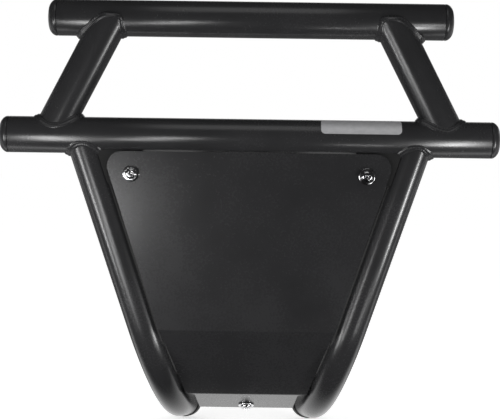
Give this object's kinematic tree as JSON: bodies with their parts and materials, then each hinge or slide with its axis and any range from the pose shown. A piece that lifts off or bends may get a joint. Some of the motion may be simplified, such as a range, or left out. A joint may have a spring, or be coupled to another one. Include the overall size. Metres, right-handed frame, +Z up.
{
  "type": "atv front bumper",
  "caption": "Welded tubular front bumper for a quad bike: crossbars joined by leaning uprights, bent down tubes and a folded skid plate that shields the frame.",
  "frame": {"origin": "centre of the lower bracket's rear face, where the bumper bolts to the vehicle's frame", "axes": "+X across the bumper to the right as seen from the front, +Y back towards the vehicle, +Z up"},
  "size_m": [0.6126, 0.1939, 0.5443],
  "materials": {
    "frame_coat": "satin black powder coat on steel tube",
    "weld_coat": "rippled weld bead under the same black powder coat",
    "plate_coat": "satin black powder coat on folded steel sheet",
    "cap_alloy": "black anodised turned aluminium with bright machined edges",
    "chrome_steel": "bright chrome plate",
    "zinc_steel": "zinc plated steel",
    "cap_vinyl": "soft black vinyl"
  },
  "bodies": {
    "root": {"upper_crossbar": "frame_coat", "lower_crossbar": "frame_coat", "left_upright": "frame_coat", "right_upright": "frame_coat", "left_down_tube": "frame_coat", "right_down_tube": "frame_coat", "left_plate_tab": "frame_coat", "right_plate_tab": "frame_coat", "lower_bracket": "frame_coat", "left_frame_tab": "frame_coat", "right_frame_tab": "frame_coat", "left_upright_head_weld": "weld_coat", "left_upright_foot_weld": "weld_coat", "left_down_tube_weld": "weld_coat", "right_upright_head_weld": "weld_coat", "right_upright_foot_weld": "weld_coat", "right_down_tube_weld": "weld_coat", "skid_plate": "plate_coat", "upper_left_end_cap": "cap_alloy", "upper_right_end_cap": "cap_alloy", "lower_left_end_cap": "cap_alloy", "lower_right_end_cap": "cap_alloy", "left_screw": "chrome_steel", "right_screw": "chrome_steel", "lip_screw": "chrome_steel", "left_washer": "chrome_steel", "right_washer": "chrome_steel", "lip_washer": "chrome_steel", "left_lock_nut": "zinc_steel", "right_lock_nut": "zinc_steel", "lip_lock_nut": "zinc_steel", "left_tail_cap": "cap_vinyl", "right_tail_cap": "cap_vinyl"}
  },
  "joints": []
}
